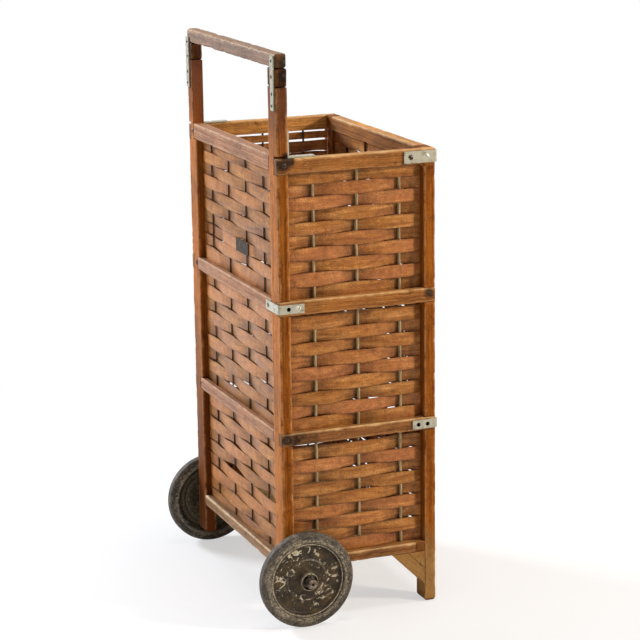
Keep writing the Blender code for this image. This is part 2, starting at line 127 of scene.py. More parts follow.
def board_wood(name, colours, aged_share, wear, shine, foot=0.0, grip=0.0, low_dark=0.0):
    """Planed board, stained and worn: grain along the UV's second axis, paler faces, rubbed arrises.

    The colours are the grain's three, the worn arrises' and the pale faces', paler partly as painted light.
    """
    mat, node, bsdf = material(name)
    deep, mid, pale, worn, aged = colours.split()
    seed = node("ObjectInfo", out="Random")
    shift = node("CombineXYZ", *(node("Math.MULTIPLY", seed, spread) for spread in (3.0, 7.0, 11.0)))
    at = node("VectorMath.ADD", node("UVMap", uv_map="board"), shift)
    place = node("TexCoord", out="Object")
    edge, end, stain, facing = (node("Attribute", attribute_name=key, out="Fac")
                                for key in ("edge", "end", "stain", "aged"))
    # cells per metre: growth rings 3 mm apart as long streaks, fibres 0.7 mm wide, short pores, scratches
    rows = (((330, 6.5, 330), 3.0, 0.6, 0.35), ((1500, 40, 1500), 2.0, 0.6, 0.0),
            ((1400, 90, 1400), 1.0, 0.5, 0.0), ((620, 46, 620), 3.0, 0.65, 0.8))
    rings, fibres, pores, scratch = (
        node("TexNoise", Vector=node("VectorMath.MULTIPLY", at, cells), Scale=1.0, Detail=detail,
             Roughness=rough, Distortion=wobble) for cells, detail, rough, wobble in rows)
    # clouds in the stain 60 mm wide, grime 18 mm wide, freckles of old varnish 2 mm wide
    rows = ((17.0, 3.0, 0.6), (55.0, 4.0, 0.65), (430.0, 3.0, 0.7))
    clouds, grime, freckles = (node("TexNoise", Vector=place, Scale=scale, Detail=detail, Roughness=rough)
                               for scale, detail, rough in rows)
    tone = weighed(node, (rings, 0.55), (fibres, 0.45))
    colour = node("ValToRGB", tone, stops=((0.34, deep), (0.5, mid), (0.66, pale)))
    # faces turned up, back or inwards painted paler, partly as fading and partly as painted light; a pale
    # foot, a lower half made darker, and a top browned by hands; heights in metres
    paled_tone = node("ValToRGB", tone, stops=((0.42, 0.639), (0.5, 1.0), (0.58, 1.2375)))
    paled_faces = node("Math.MULTIPLY", facing, node("MapRange", grime, 0.3, 0.55, 0.75 * aged_share, aged_share))
    height = weighed(node, (node("SeparateXYZ", place, out="Z"), 1.0), (grime, 40 * MM))
    streaks = node("ValToRGB", tone, stops=((0.34, 0.76), (0.5, 1.0), (0.66, 1.24)))
    darkened_low, browned = (node("VectorMath.MULTIPLY", tint, streaks) for tint in ("#54260C", "#6A402C"))
    layers = [(paled_faces, node("VectorMath.MULTIPLY", aged, paled_tone)),
              (node("MapRange", height, 0.09, 0.16, foot, 0.0), "#A5824F"),
              (node("MapRange", height, 0.2, 0.5, low_dark, 0.0), darkened_low),
              (node("MapRange", height, 0.77, 0.86, 0.0, grip), browned)]
    # rubbed arrises, the upper ones paler partly as a painted highlight, and scratches, dark ends, dents,
    # pores, iron stain, and painted shade where the wood behind empty holes is black
    rubbed = node("Math.MULTIPLY", node("MapRange", edge, 0.5, 0.85, 0.0, wear),
                  node("MapRange", grime, 0.38, 0.56, max(0.1, wear - 0.35), 1.0))
    rubbed = node("Math.MAXIMUM", rubbed, node("MapRange", scratch, 0.64, 0.72, 0.0, 0.7 * wear))
    ends = node("MapRange", weighed(node, (end, 1.0), (grime, 0.4)), 0.6, 1.0, 0.0, 0.8)
    pore_dark = node("MapRange", pores, 0.3, 0.38, 1.0, 0.0)
    # iron stain, and painted shade where the wood behind an empty hole is made black
    soak_and_shade = node("MapRange", weighed(node, (stain, 1.0), (grime, 1.3), (-0.65, 1.0)), 0.32, 0.85, 0.0, 0.92)
    soak_and_shade = node("Math.MULTIPLY", soak_and_shade, node("MapRange", stain, 0.02, 0.2, 0.0, 1.0))
    layers += [(clouds, [(0.3, 0.694), (0.52, 1.0), (0.72, 1.18)]),
               (freckles, [(0.3, 0.8), (0.5, 1.0), (0.7, 1.22)]),
               (seed, [(0.0, 0.88), (1.0, 1.08)]), (rubbed, worn), (ends, deep),
               (node("MapRange", grime, 0.3, 0.38, 0.5, 0.0), "#3A2010"),
               (node("Math.MULTIPLY", pore_dark, 0.55), "#3B1D0B"), (soak_and_shade, "#1D110C")]
    colour = coated(node, colour, *layers)
    relief = weighed(node, (fibres, 0.5), (grime, 0.5), (pore_dark, -0.4))
    feed(bsdf, Base_Color=colour, Roughness=node("MapRange", clouds, 0.3, 0.7, 0.45, 0.62),
         Specular_IOR_Level=shine, Normal=node("Bump", Strength=0.45, Distance=0.35 * MM, Height=relief))
    return mat


POST_COLOURS = "#5A2C08 #8A4A12 #A6661F #CC965E #CB8044"
# a darker copy of the post colours for the far rear post, which is also made darker towards the bottom
DARK_POST_COLOURS = "#56290A #844613 #9E6020 #C08A58 #AC6C3A"
leg_wood = board_wood("stained softwood leg", POST_COLOURS, 0.8, 0.55, 0.06, foot=0.75)
post_wood = board_wood("stained softwood post", POST_COLOURS, 0.8, 0.55, 0.06, grip=0.85)
post_wood_dark_below = board_wood("stained softwood post gone dark", DARK_POST_COLOURS, 0.8, 0.55, 0.06, grip=0.85, low_dark=0.8)
side_wood = board_wood("stained softwood rail", "#5E3314 #9A612C #B67E42 #DDB37E #D69850", 0.7, 0.85, 0.12)
brown_wood = board_wood("stained softwood rail, browner", "#4E2B14 #83532B #A06E3C #DDB37E #C08A4C", 0.7,
                        0.85, 0.12)
handle_wood = board_wood("handled brown wood", "#4E3115 #7A5227 #96703A #B8935E #8E7361", 0.95, 0.55, 0.15)
rail_wood = board_wood("weathered pinkish wood", "#74482E #A4704C #C2946E #D6B490 #AC8064", 0.4, 0.6, 0.12)
grey_wood = board_wood("weathered grey wood", "#5E3E2A #936B4A #B8926A #DCC29C #A07C58", 0.5, 0.9, 0.12)
block_wood = board_wood("dark stained block", "#220F06 #482410 #6E3E1A #A06E38 #6A4022", 0.5, 0.6, 0.08)
floor_wood = board_wood("unstained floor slat", "#8B6239 #AE8452 #C9A473 #D8BC90 #B89264", 0.3, 0.4, 0.15)

# iron stain round the screws, and painted shade: black wood behind the irons' empty holes, for the shade
# inside them; x, y, z from the cart's near rear corner and radius, all in mm, then strength
CORNER = Vector((*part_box("rear_right_post")[0][:2], 0))
STAINS_AND_SHADE = [(10, 0, 747, 16, 1.0), (19, 0, 756, 12, 1.3), (14, 0, 759, 9, 1.0), (257, 0, 523, 12, 1.0),
          (9, 0, 307, 13, 0.95), (22, 0, 304, 16, 0.8), (46, 0, 301, 30, 0.62), (15, 0, 907, 11, 1.25),
          (15, 0, 886, 13, 1.3), (9, 0, 872, 11, 0.75), (4, 407, 883, 16, 0.7), (0, 402, 520, 8, 0.75),
          (0, 182, 96, 7, 0.7), (250, 0, 320, 12, 0.35), (262, 4, 727, 14, 0.5), (15, 0, 519.6, 7, 1.4),
          (252.5, 0, 306.2, 7, 1.4), (236.5, 0, 306.2, 7, 1.4), (224.5, 0, 745.1, 7, 1.4)]
SPOT_FADE = 1.35


def uneven(rng, count, knots, low, high):
    """A smooth random line of values."""
    return np.interp(np.linspace(0, knots, count), np.arange(knots + 1), rng.uniform(low, high, knots + 1))


def ring_points(half_a, half_b, radii, steps_a, steps_b):
    """A rounded rectangle's points, and how far round an arris each of them is."""
    points, edge = [], []
    corners = ((1, 1), (-1, 1), (-1, -1), (1, -1))
    for k, (sa, sb) in enumerate(corners):
        r = radii[k]
        for j in range(4):
            a = math.pi / 2 * (k + j / 3)
            points.append((sa * (half_a - r) + r * math.cos(a), sb * (half_b - r) + r * math.sin(a)))
            edge.append((0.75, 1.0, 1.0, 0.75)[j])
        ta, tb = corners[(k + 1) % 4]
        r2 = radii[(k + 1) % 4]
        if k % 2 == 0:
            first, last, steps = (sa * (half_a - r), sb * half_b), (ta * (half_a - r2), sb * half_b), steps_a
        else:
            first, last, steps = (sa * half_a, sb * (half_b - r)), (sa * half_a, tb * (half_b - r2)), steps_b
        for j in range(1, steps):
            points.append(tuple(p + (q - p) * j / steps for p, q in zip(first, last)))
            edge.append(0.35 if j in (1, steps - 1) else 0.0)
    return points, edge


def skinned(name, layer, verts, along, around, caps=(), flip=False, swap=False):
    """A mesh of closed rings of points, one after another, with a UV map of the metres round and along.

    Caps are more faces, each with its own UVs. Flip turns all faces over, swap puts the metres along first.
    """
    ring = len(around) - 1
    faces, uvs = [], []
    for i in range(len(along) - 1):
        for k in range(ring):
            m = (k + 1) % ring
            corners = (i * ring + k, i * ring + m, (i + 1) * ring + m, (i + 1) * ring + k)
            faces.append([corner % len(verts) for corner in corners])
            uvs.append([(around[k], along[i]), (around[k + 1], along[i]), (around[k + 1], along[i + 1]),
                        (around[k], along[i + 1])])
    for face, corners in caps:
        faces.append(face)
        uvs.append(corners)
    turn = -1 if flip else 1
    mesh = bpy.data.meshes.new(name)
    mesh.from_pydata(verts, [], [face[::turn] for face in faces])
    uvs = np.array([uv for corners in uvs for uv in corners[::turn]])
    mesh.uv_layers.new(name=layer).data.foreach_set("uv", (uvs[:, ::-1] if swap else uvs).ravel())
    return mesh


def board_mesh(name, low, high, axis, seed, arris=1.5, low_round=1.2, high_round=1.2, bow=0.25):
    """A worn board between two corners, swept along one axis: uneven arrises, eased ends; roundings in mm."""
    rng = np.random.default_rng(seed)
    low, high = np.array(low), np.array(high)
    others = [k for k in range(3) if k != axis]
    half = (high - low)[others] / 2
    middle = (high + low)[others] / 2
    length = high[axis] - low[axis]
    low_round *= MM
    high_round *= MM
    along = [low_round * (1 - math.cos(a)) for a in np.linspace(0, math.pi / 2, 5)]
    run = length - low_round - high_round
    count = max(2, int(run / STATION))
    along += [low_round + run * k / count for k in range(1, count)]
    along += [length - high_round * (1 - math.cos(a)) for a in np.linspace(math.pi / 2, 0, 5)]
    steps_a, steps_b = (max(2, round(h * 2 / FACE_STEP)) for h in half)
    n = len(along)
    knots = max(3, int(length / KNOT_STEP))
    radii = []
    for _ in range(4):
        chipped = uneven(rng, n, knots, 0.55, 1.35) + np.maximum(0, uneven(rng, n, 3 * knots, -2.2, 1.3))
        radii.append(np.minimum(arris * MM * chipped, 0.42 * half.min() * 2))
    bend = [bow * MM * uneven(rng, n, max(3, knots // 3), -1, 1) for _ in range(2)]
    fade = np.minimum(1, np.minimum(np.array(along), length - np.array(along)) / STRAIGHT_END)
    verts, edges, ends = [], [], []
    for i, at in enumerate(along):
        inset = 0.0
        for rounding, gap in ((low_round, at), (high_round, length - at)):
            if gap < rounding and not inset:
                inset = rounding - math.sqrt(max(0, rounding ** 2 - (rounding - gap) ** 2))
        ha, hb = half - inset
        corner_radii = [max(0.15 * MM, min(r[i], ha * 0.9, hb * 0.9)) for r in radii]
        points, edge = ring_points(ha, hb, corner_radii, steps_a, steps_b)
        tip = 1.0 if inset > 0.1 * MM else 0.0
        for point, e in zip(points, edge):
            place = np.zeros(3)
            for k in range(2):
                place[others[k]] = middle[k] + point[k] - math.copysign(abs(bend[k][i]) * fade[i], point[k])
            place[axis] = low[axis] + at
            verts.append(tuple(place))
            edges.append(max(e, 0.55 * tip))
            ends.append(tip)
    ring = len(points)
    base, _ = ring_points(half[0], half[1], [arris * MM] * 4, steps_a, steps_b)
    around = np.concatenate([[0.0], np.cumsum([math.dist(p, q) for p, q in zip(base, base[1:] + base[:1])])])
    caps = []
    for row, order in ((0, range(ring - 1, -1, -1)), (n - 1, range(ring))):
        corners = [(points[k][0], points[k][1] * 0.2 + along[row]) for k in order]
        caps.append(([row * ring + k for k in order], corners))
    mesh = skinned(name, "board", verts, along, around, caps, flip=axis == 1)
    write(mesh, edge=edges, end=ends)
    mesh.polygons.foreach_set("use_smooth", [True] * len(mesh.polygons))
    return mesh


def write(mesh, **named):
    """Write a value for each point of the mesh under each name."""
    for name, values in named.items():
        layer = mesh.attributes.get(name) or mesh.attributes.new(name, "FLOAT", "POINT")
        layer.data.foreach_set("value", np.array(values, dtype=float))


def age_mesh(mesh, inner=0.0):
    """Write how deep iron stains and painted hole shade go, and how far wood faces up, back or in, to be
    paler.

    Arrises that face down are hardly rubbed: the upper arrises' pale is partly a painted highlight.
    """
    places = np.array([v.co for v in mesh.vertices])
    normals = np.array([v.normal for v in mesh.vertices])
    stain = np.zeros(len(places))
    for *at, radius, strength in STAINS_AND_SHADE:
        gap = np.linalg.norm(places - np.array(CORNER + Vector(at) * MM), axis=1)
        stain = np.maximum(stain, strength * np.clip(SPOT_FADE - gap / (radius * MM), 0, 1))
    # painted light in part: faces turned back, up or inwards are painted paler, as well as faded
    back = -normals[:, 0] * (places[:, 0] < CORNER.x + 4 * MM)
    inwards = -normals[:, 1] * np.sign(places[:, 1])
    aged = np.clip(np.maximum(np.maximum(back, 0.8 * normals[:, 2]), inner * inwards), 0, 1)
    edge = np.zeros(len(places))
    mesh.attributes["edge"].data.foreach_get("value", edge)
    write(mesh, stain=stain, aged=aged, edge=edge * np.clip(1 + 1.3 * normals[:, 2], 0.2, 1))


def linked(name, data):
    """A new object in the scene with the given data."""
    obj = bpy.data.objects.new(name, data)
    bpy.context.scene.collection.objects.link(obj)
    return obj


def built(name, bm):
    """A mesh of what was built in a bmesh, which goes."""
    mesh = bpy.data.meshes.new(name)
    bm.to_mesh(mesh)
    bm.free()
    return mesh


def baked(obj):
    """The object's mesh with its modifiers applied; the object goes."""
    graph = bpy.context.evaluated_depsgraph_get()
    mesh = bpy.data.meshes.new_from_object(obj.evaluated_get(graph))
    bpy.data.objects.remove(obj)
    return mesh


def add_piece(name, mesh, materials, replaces=(), body="cart"):
    """Link a finished mesh as a piece of the cart; without materials it keeps its own."""
    if materials:
        mesh.materials.clear()
    for mat in materials:
        mesh.materials.append(mat)
    obj = linked(name, mesh)
    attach(obj, body)
    if replaces:
        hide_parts(*replaces)
    return obj


def housed(mesh, boxes):
    """A board's mesh with box-shaped housings cut out of it."""
    obj = linked("board", mesh)
    tools = []
    for low, high in boxes:
        low, high = Vector(low), Vector(high)
        bm = bmesh.new()
        bmesh.ops.create_cube(bm, size=1, matrix=Matrix.LocRotScale((low + high) / 2, None, high - low))
        tools.append(linked("housing", built("housing", bm)))
        cut = obj.modifiers.new("housing", "BOOLEAN")
        cut.solver = "EXACT"
        cut.object = tools[-1]
    result = baked(obj)
    for tool in tools:
        bpy.data.objects.remove(tool)
    return result


RUN_OUT = 20 * MM


def beyond(node, *open_to):
    """A rail's box, widened all round by the fit, and run out past the given (axis, sign) faces."""
    low, high = [list(corner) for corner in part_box(node)]
    for axis in range(3):
        low[axis] -= HOUSING_FIT + RUN_OUT * ((axis, -1) in open_to)
        high[axis] += HOUSING_FIT + RUN_OUT * ((axis, 1) in open_to)
    return low, high


def add_board(node, wood, axis, seed, cuts=(), inner=0.0, **shape):
    """A worn board of a CAD node's size, housed and aged, that replaces the node."""
    mesh = board_mesh(node, *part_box(node), axis, seed, **shape)
    if cuts:
        mesh = housed(mesh, cuts)
    age_mesh(mesh, inner)
    add_piece(f"wood_{node}", mesh, [wood], (node,))


SIDES = {"right": -1, "left": 1}
NOTCH_SLACK = 3.5 * MM
seed = 10
for end in ("rear", "front"):
    for side, sign in SIDES.items():
        node = f"{end}_{side}_post"
        cuts = [beyond(f"side_{level}_rail_{side}", (1, sign), (0, -1), (0, 1))
                for level in ("upper", "lower", "top")]
        cuts[-1][1][2] += NOTCH_SLACK if end == "rear" else RUN_OUT
        if node == "rear_left_post":
            cuts += [beyond(f"rear_{level}_rail", (0, -1), (1, -1)) for level in ("upper", "lower")]
            cuts.append(beyond("rear_top_rail", (0, -1), (0, 1), (1, -1)))
            cuts[-1][1][2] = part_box(node)[1][2] + RUN_OUT
        seed += 1
        wood = leg_wood if end == "front" else post_wood if side == "right" else post_wood_dark_below
        add_board(node, wood, 2, seed, cuts, arris=1.7, low_round=6.0, high_round=1.2, bow=0.3)

LEVELS = ("top", "upper", "lower", "bottom")
PLAIN_BOARDS = [(0, side_wood, [f"side_{level}_rail_{side}" for level in LEVELS[:2] for side in SIDES]),
                (0, brown_wood, [f"side_{level}_rail_{side}" for level in LEVELS[2:] for side in SIDES]),
                (1, rail_wood, [f"rear_{level}_rail" for level in LEVELS[:3]]),
                (1, grey_wood, ["rear_bottom_rail"]),
                (1, side_wood, [f"front_{level}_rail" for level in LEVELS]),
                (1, leg_wood, ["front_cross_rail", "axle_bolster"]),
                (0, floor_wood, [f"floor_slat_{k}" for k in range(1, 6)])]
for axis, wood, nodes in PLAIN_BOARDS:
    for node in nodes:
        seed += 1
        inner = float(wood in (side_wood, brown_wood))
        add_board(node, wood, axis, seed, inner=inner, arris=1.3, low_round=1.0, high_round=1.0)

HANDLE_SEED = 70
add_board("handle_bar", handle_wood, 1, HANDLE_SEED, arris=2.6, low_round=5.0, high_round=5.0, bow=0.4)
for side in SIDES:
    seed += 1
    add_board(f"handle_spacer_{side}", block_wood, 2, seed, arris=2.4, low_round=3.0, high_round=3.0, bow=0.2)

# Knee braces and corner blocks
# Short offcuts of the leg's board nailed between the bottom rail and the front legs. The CAD solids' shapes
# are kept, with the grain laid along the brace by their own UV map.
for side in SIDES:
    for kind, turn in (("knee_brace", math.pi / 4), ("corner_block", 0.0)):
        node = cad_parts[f"{kind}_{side}"]
        mesh = node.data.copy()
        uvs = mesh.uv_layers.new(name="board")
        for loop in mesh.loops:
            p = mesh.vertices[loop.vertex_index].co
            uvs.data[loop.index].uv = (p.x * math.cos(turn) + p.z * math.sin(turn) + p.y,
                                       p.x * math.sin(turn) - p.z * math.cos(turn))
        write(mesh, edge=np.zeros(len(mesh.vertices)))
        age_mesh(mesh)
        add_piece(f"wood_{kind}_{side}", mesh, [leg_wood], (node.name,))

# Woven walls
# Splints about 20 mm wide shaved from wood, woven before and behind round reed stakes; they stop at the
# back of each rail. A wall's rows are points that know their top and foot: one node tree lays a splint
# along each and sets stakes.
SPLINT_THICK = 1.2 * MM
LOOSE = 0.4 * MM
DIP_POWER = 2.0
END_FADE = 12 * MM
LIFT = 3.2 * MM
LIFT_FROM = 0.6
CUP = 0.5 * MM
LINES_APART = 3.7
WALL_FIT = 0.6 * MM
LAP_SPREAD = 0.8 * MM
ALONG_STEP = 3 * MM
STAKE_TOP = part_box("side_top_rail_right")[0][2] + 1.0 * MM


def weave_tree():
    """A splint for each row point, bent round evenly spaced stakes, and the stakes."""
    tree = bpy.data.node_groups.new("weave", "GeometryNodeTree")
    tree.interface.new_socket("Geometry", in_out="OUTPUT", socket_type="NodeSocketGeometry")
    for kind, names in (("Geometry", "Geometry"),
                        ("Float", "Wall Width,Stake Pitch,Stake Shift,Stake Top,Stake Foot,Stake Wide"),
                        ("Float", "Stake Deep,Relief,Spread,Slit,Stray,Gape,Seed"),
                        ("Int", "Stakes,Along Steps,First Over"), ("Material", "Splint,Stake")):
        for name in names.split(","):
            tree.interface.new_socket(name, in_out="INPUT", socket_type=f"NodeSocket{kind}")
    given = tree.nodes.new("NodeGroupInput").outputs
    node = functools.partial(put, tree)
    named = {name: node("GeometryNodeInputNamedAttribute", data_type="FLOAT", Name=name) for name in
             ("row", "across", "over", "lap", "top", "foot", "free_top", "free_foot", "slipped", "lifted")}
    row, across = named["row"], named["across"]
    x, y, z = node("SeparateXYZ", node("GeometryNodeInputPosition"), out=slice(3))

    size = node("CombineXYZ", given["Wall Width"], SPLINT_THICK, 2.0)
    blank = node("GeometryNodeMeshCube", size, given["Along Steps"], 2, 7)
    cloth = node("GeometryNodeInstanceOnPoints", given["Geometry"], Instance=blank)
    cloth = node("GeometryNodeRealizeInstances", cloth)
    first = node("Math.MULTIPLY_ADD", given["Stakes"], 0.5, -0.5)
    phase = node("Math.DIVIDE", node("Math.SUBTRACT", x, given["Stake Shift"]), given["Stake Pitch"])
    phase = node("Math.ADD", phase, first)
    swing = weighed(node, (phase, math.pi), (row, math.pi), (given["First Over"], math.pi))
    # a mis-woven row passes behind the outer stakes and before both inner ones
    slip = node("Math.COSINE", node("Math.MULTIPLY", phase, math.tau / 3))
    slip = node("MapRange", slip, -0.5, 0.5, 1.0, -1.0)
    swing = node("Mix", named["slipped"], A_Float=node("Math.COSINE", swing), B_Float=slip)
    to_end = node("Math.MULTIPLY_ADD", given["Wall Width"], -0.5, node("Math.ABSOLUTE", x))
    fade = node("MapRange", to_end, -END_FADE, 0.0, 1.0, 0.0)
    # a splint lies flat over most of its span and dips steeply close to the stake that it passes behind
    dip = node("Math.POWER", node("MapRange", swing, -1.0, 1.0, 1.0, 0.0), DIP_POWER)
    over = node("Math.MULTIPLY", node("Math.MULTIPLY_ADD", dip, -2.0, 1.0), fade)
    for name, value in (("across", z), ("over", over), ("lap", node("Math.MULTIPLY", swing, fade))):
        cloth = node("GeometryNodeStoreNamedAttribute", cloth, data_type="FLOAT", Name=name, Value=value)

    def wander(line, size, frequency, salt):
        """An offset that drifts along the wall, its own on each numbered line."""
        at = node("CombineXYZ", node("Math.MULTIPLY", x, frequency), node("Math.MULTIPLY", line, LINES_APART),
                  node("Math.ADD", given["Seed"], salt))
        value = node("TexNoise", Vector=at, Scale=1.0, Detail=1.0)
        return node("Math.MULTIPLY_ADD", value, size, -0.5 * size)

    def edge(name, line, sign, salt):
        """The height of a splint's upper or lower edge: a slit off the next one, more where it strays."""
        stray = node("Math.MAXIMUM", wander(node("Math.MULTIPLY", row, 2.0), 4.5 * MM, 22.0, salt), 0.0)
        loosened = node("Math.MULTIPLY_ADD", given["Gape"], row, given["Stray"])
        slit = node("Math.MULTIPLY_ADD", loosened, stray, given["Slit"])
        out = node("Math.SUBTRACT", node("Math.MULTIPLY", named["lap"], given["Spread"]), slit)
        out = node("Math.MULTIPLY_ADD", out, sign, wander(line, 4.0 * MM, 14.0, 0.0))
        return node("Math.MULTIPLY_ADD", out, named[f"free_{name}"], named[name])

    up = edge("top", row, 1.0, 9.0)
    down = edge("foot", node("Math.ADD", row, 1.0), -1.0, 5.0)
    # one row's foot has lifted wherever the row goes behind a stake
    behind = node("Math.MAXIMUM", node("Math.SUBTRACT", LIFT_FROM, swing), 0.0)
    lift = node("Math.MULTIPLY", node("Math.MULTIPLY", behind, fade), LIFT)
    down = node("Math.MULTIPLY_ADD", named["lifted"], lift, down)
    # a splint is cupped across its width and twists a little
    cup = node("Math.MULTIPLY", node("Math.MULTIPLY", across, across), CUP)
    depth = node("Math.MULTIPLY_ADD", named["over"], node("Math.SUBTRACT", cup, given["Relief"]), y)
    twist = node("Math.MULTIPLY", across, wander(row, 3.0 * MM, 9.0, 31.0))
    depth = weighed(node, (depth, 1.0), (twist, 1.0), (wander(row, 1.2 * MM, 30.0, 21.0), 1.0))
    height = node("MapRange", across, -1.0, 1.0, down, up)
    cloth = node("GeometryNodeSetPosition", cloth, Position=node("CombineXYZ", x, depth, height))
    cloth = node("GeometryNodeSetMaterial", cloth, Material=given["Splint"])

    tall = node("Math.SUBTRACT", given["Stake Top"], given["Stake Foot"])
    rod = node("GeometryNodeMeshCylinder", Vertices=12, Side_Segments=70, Radius=0.5, Depth=tall)
    left = node("Math.SUBTRACT", given["Stake Shift"], node("Math.MULTIPLY", first, given["Stake Pitch"]))
    middle = weighed(node, (given["Stake Top"], 0.5), (given["Stake Foot"], 0.5))
    start = node("CombineXYZ", left, 0.0, middle)
    line = node("GeometryNodeMeshLine", Count=given["Stakes"], Start_Location=start,
                Offset=node("CombineXYZ", given["Stake Pitch"]))
    girth = node("CombineXYZ", given["Stake Wide"], given["Stake Deep"], 1.0)
    rods = node("GeometryNodeInstanceOnPoints", line, Instance=rod, Scale=girth)
    rods = node("GeometryNodeStoreNamedAttribute", rods, data_type="FLOAT", domain="INSTANCE", Name="row",
                Value=node("GeometryNodeInputIndex"))
    rods = node("GeometryNodeRealizeInstances", rods)
    sway = node("CombineXYZ", 0.0, node("Math.MULTIPLY", row, 5.0), node("Math.MULTIPLY", z, 9.0))
    bend = node("TexNoise", Vector=sway, Scale=1.0, Detail=1.0)
    bend = node("CombineXYZ", node("Math.MULTIPLY_ADD", bend, 6.0 * MM, -3.0 * MM))
    rods = node("GeometryNodeSetPosition", rods, Offset=bend)
    rods = node("GeometryNodeSetMaterial", rods, Material=given["Stake"])
    joined = node("GeometryNodeJoinGeometry", cloth)
    feed(joined.node, rods)
    feed(tree.nodes.new("NodeGroupOutput"), joined)
    return tree


def splint_wood(name, colours, reddest):
    """Shaved splint under thin old varnish: each its own tone, long fibres, cloudy colour, painted shade and
    light.
    """
    mat, node, bsdf = material(name)
    dark, mid, pale, red = colours.split()
    place = node("TexCoord", out="Object")
    x, y = node("SeparateXYZ", place, out=slice(2))
    row, across, over = (node("Attribute", attribute_name=key, out="Fac")
                         for key in ("row", "across", "over"))
    lengthwise = node("CombineXYZ", node("Math.ADD", x, y), node("Math.MULTIPLY", across, 10.0 * MM),
                      node("Math.MULTIPLY", row, 0.37))
    # cells per metre along, across and from row to row
    rows = (((34, 900, 9), 3.0, 0.65, 0.0), ((14, 110, 9), 4.0, 0.6, 0.5), ((11, 60, 19), 2.0, 0.5, 0.0))
    fibres, figure, hues = (
        node("TexNoise", Vector=node("VectorMath.MULTIPLY", lengthwise, cells), Scale=1.0, Detail=detail,
             Roughness=rough, Distortion=wobble) for cells, detail, rough, wobble in rows)
    grain = node("TexNoise", Vector=place, Scale=430.0, Detail=3.0, Roughness=0.75)
    blots = node("TexNoise", Vector=place, Scale=85.0, Detail=3.0, Roughness=0.6)
    wall_seed = node("Math.MULTIPLY", node("ObjectInfo", out="Random"), 53.0)
    tone = node("TexWhiteNoise", noise_dimensions="1D", W=node("Math.ADD", row, wall_seed))
    colour = node("ValToRGB", weighed(node, (fibres, 0.32), (figure, 0.68)),
                  stops=((0.3, dark), (0.5, mid), (0.7, pale)))
    reddened = node("MapRange", weighed(node, (hues, 0.6), (tone, 0.4)), 0.4, 0.62, 0.0, reddest)
    # painted shade where a splint dips behind a stake and along its edges; painted highlight on its crests
    dip_shade_crest_light = node("Math.MULTIPLY_ADD", over, 0.5, 0.5)
    rim = node("Math.MULTIPLY", node("Math.POWER", node("Math.ABSOLUTE", across), 9.0), 0.45)
    colour = coated(node, colour, (reddened, red), (tone, [(0.0, 0.76), (0.5, 1.0), (1.0, 1.18)]),
                    (grain, [(0.3, 0.6), (0.5, 1.0), (0.7, 1.4)]),
                    (blots, [(0.3, 0.72), (0.5, 1.0), (0.7, 1.18)]),
                    (dip_shade_crest_light, [(0.0, 0.7), (0.45, 0.98), (1.0, 1.1)]), (rim, "#3B1E0C"))
    relief = weighed(node, (fibres, 0.6), (grain, 0.4))
    feed(bsdf, Base_Color=colour, Roughness=node("MapRange", figure, 0.3, 0.7, 0.36, 0.48),
         Specular_IOR_Level=0.2, Normal=node("Bump", Strength=0.5, Distance=0.35 * MM, Height=relief))
    return mat


splint_warm = splint_wood("varnished splint", "#6E3C16 #A86C31 #CE9658 #905838", 0.6)
splint_grey = splint_wood("sun-bleached splint", "#6C3E1C #A66C34 #C48C4A #A0683C", 0.65)


def reed(name, dark, mid, pale):
    """Round peeled reed: specks drawn out along the stake."""
    mat, node, bsdf = material(name)
    at = node("VectorMath.MULTIPLY", node("TexCoord", out="Object"), (700, 700, 60))
    speck = node("TexNoise", Vector=at, Scale=1.0, Detail=2.0, Roughness=0.55)
    feed(bsdf, Base_Color=node("ValToRGB", speck, stops=((0.3, dark), (0.55, mid), (0.75, pale))),
         Roughness=0.7, Specular_IOR_Level=0.15)
    return mat


stake_wood = reed("peeled reed stake", "#6E5C40", "#A8946F", "#C6B491")
# painted shade: a dark copy of the reed for stakes seen on their shaded side, on the rear wall and inside
shade_dark_stake = reed("reed stake painted dark for shade", "#2E2012", "#4F3A22", "#6E5434")

# runs of rows between the rails: head, foot, rows, and how far the last splint tucks behind the rail; in mm
SIDE_ROWS = [(730.3, 712.9, 1, 0), (712.9, 530.2, 9, 4), (502.6, 479.3, 1, 0), (479.3, 315.4, 8, 3),
             (287.0, 265.3, 1, 0), (265.3, 105.2, 8, 0)]
FAR_ROWS = [(730.8, 718.5, 1, 0), (715.4, 530.4, 9, 4), (503.6, 316.0, 9, 3), (287.5, 105.2, 9, 0)]
FRONT_ROWS = [(731.8, 530.4, 10, 4), (503.6, 316.0, 9, 3), (287.5, 105.2, 9, 0)]
REAR_ROWS = [(732.4, 717.5, 1, 0), (717.5, 533.4, 9, 6), (507.2, 310.3, 9, 0), (292.6, 185.4, 5, 0),
             (182.8, 118.4, 3, 0), (118.4, 103.4, 1, 0)]
ODD_ROWS = {"slipped": 7, "lifted": 23}


def row_points(name, runs, odd):
    """One point per row with the splint's top, foot and number; where runs end, its edge is straight."""
    rows = []
    for head, foot, count, tuck in runs:
        tall = (head - foot) / count
        for k in range(count):
            number = len(rows)
            low = head - (k + 1) * tall - (tuck if k == count - 1 else 0)
            rows.append((number, (head - k * tall) * MM, low * MM, k > 0, k < count - 1,
                         odd.get("slipped") == number, odd.get("lifted") == number))
    mesh = bpy.data.meshes.new(name)
    mesh.from_pydata([(0, 0, 0)] * len(rows), [], [])
    write(mesh, **dict(zip(("row", "top", "foot", "free_top", "free_foot", "slipped", "lifted"), zip(*rows))))
    return linked(name, mesh)


def smoothed(mesh, degrees):
    """The mesh shaded smooth over all edges less steep than an angle."""
    mesh.polygons.foreach_set("use_smooth", [True] * len(mesh.polygons))
    mesh.set_sharp_from_angle(angle=math.radians(degrees))
    return mesh


weave = weave_tree()
sockets = {item.name: item.identifier for item in weave.interface.items_tree
           if item.item_type == "SOCKET" and item.in_out == "INPUT"}
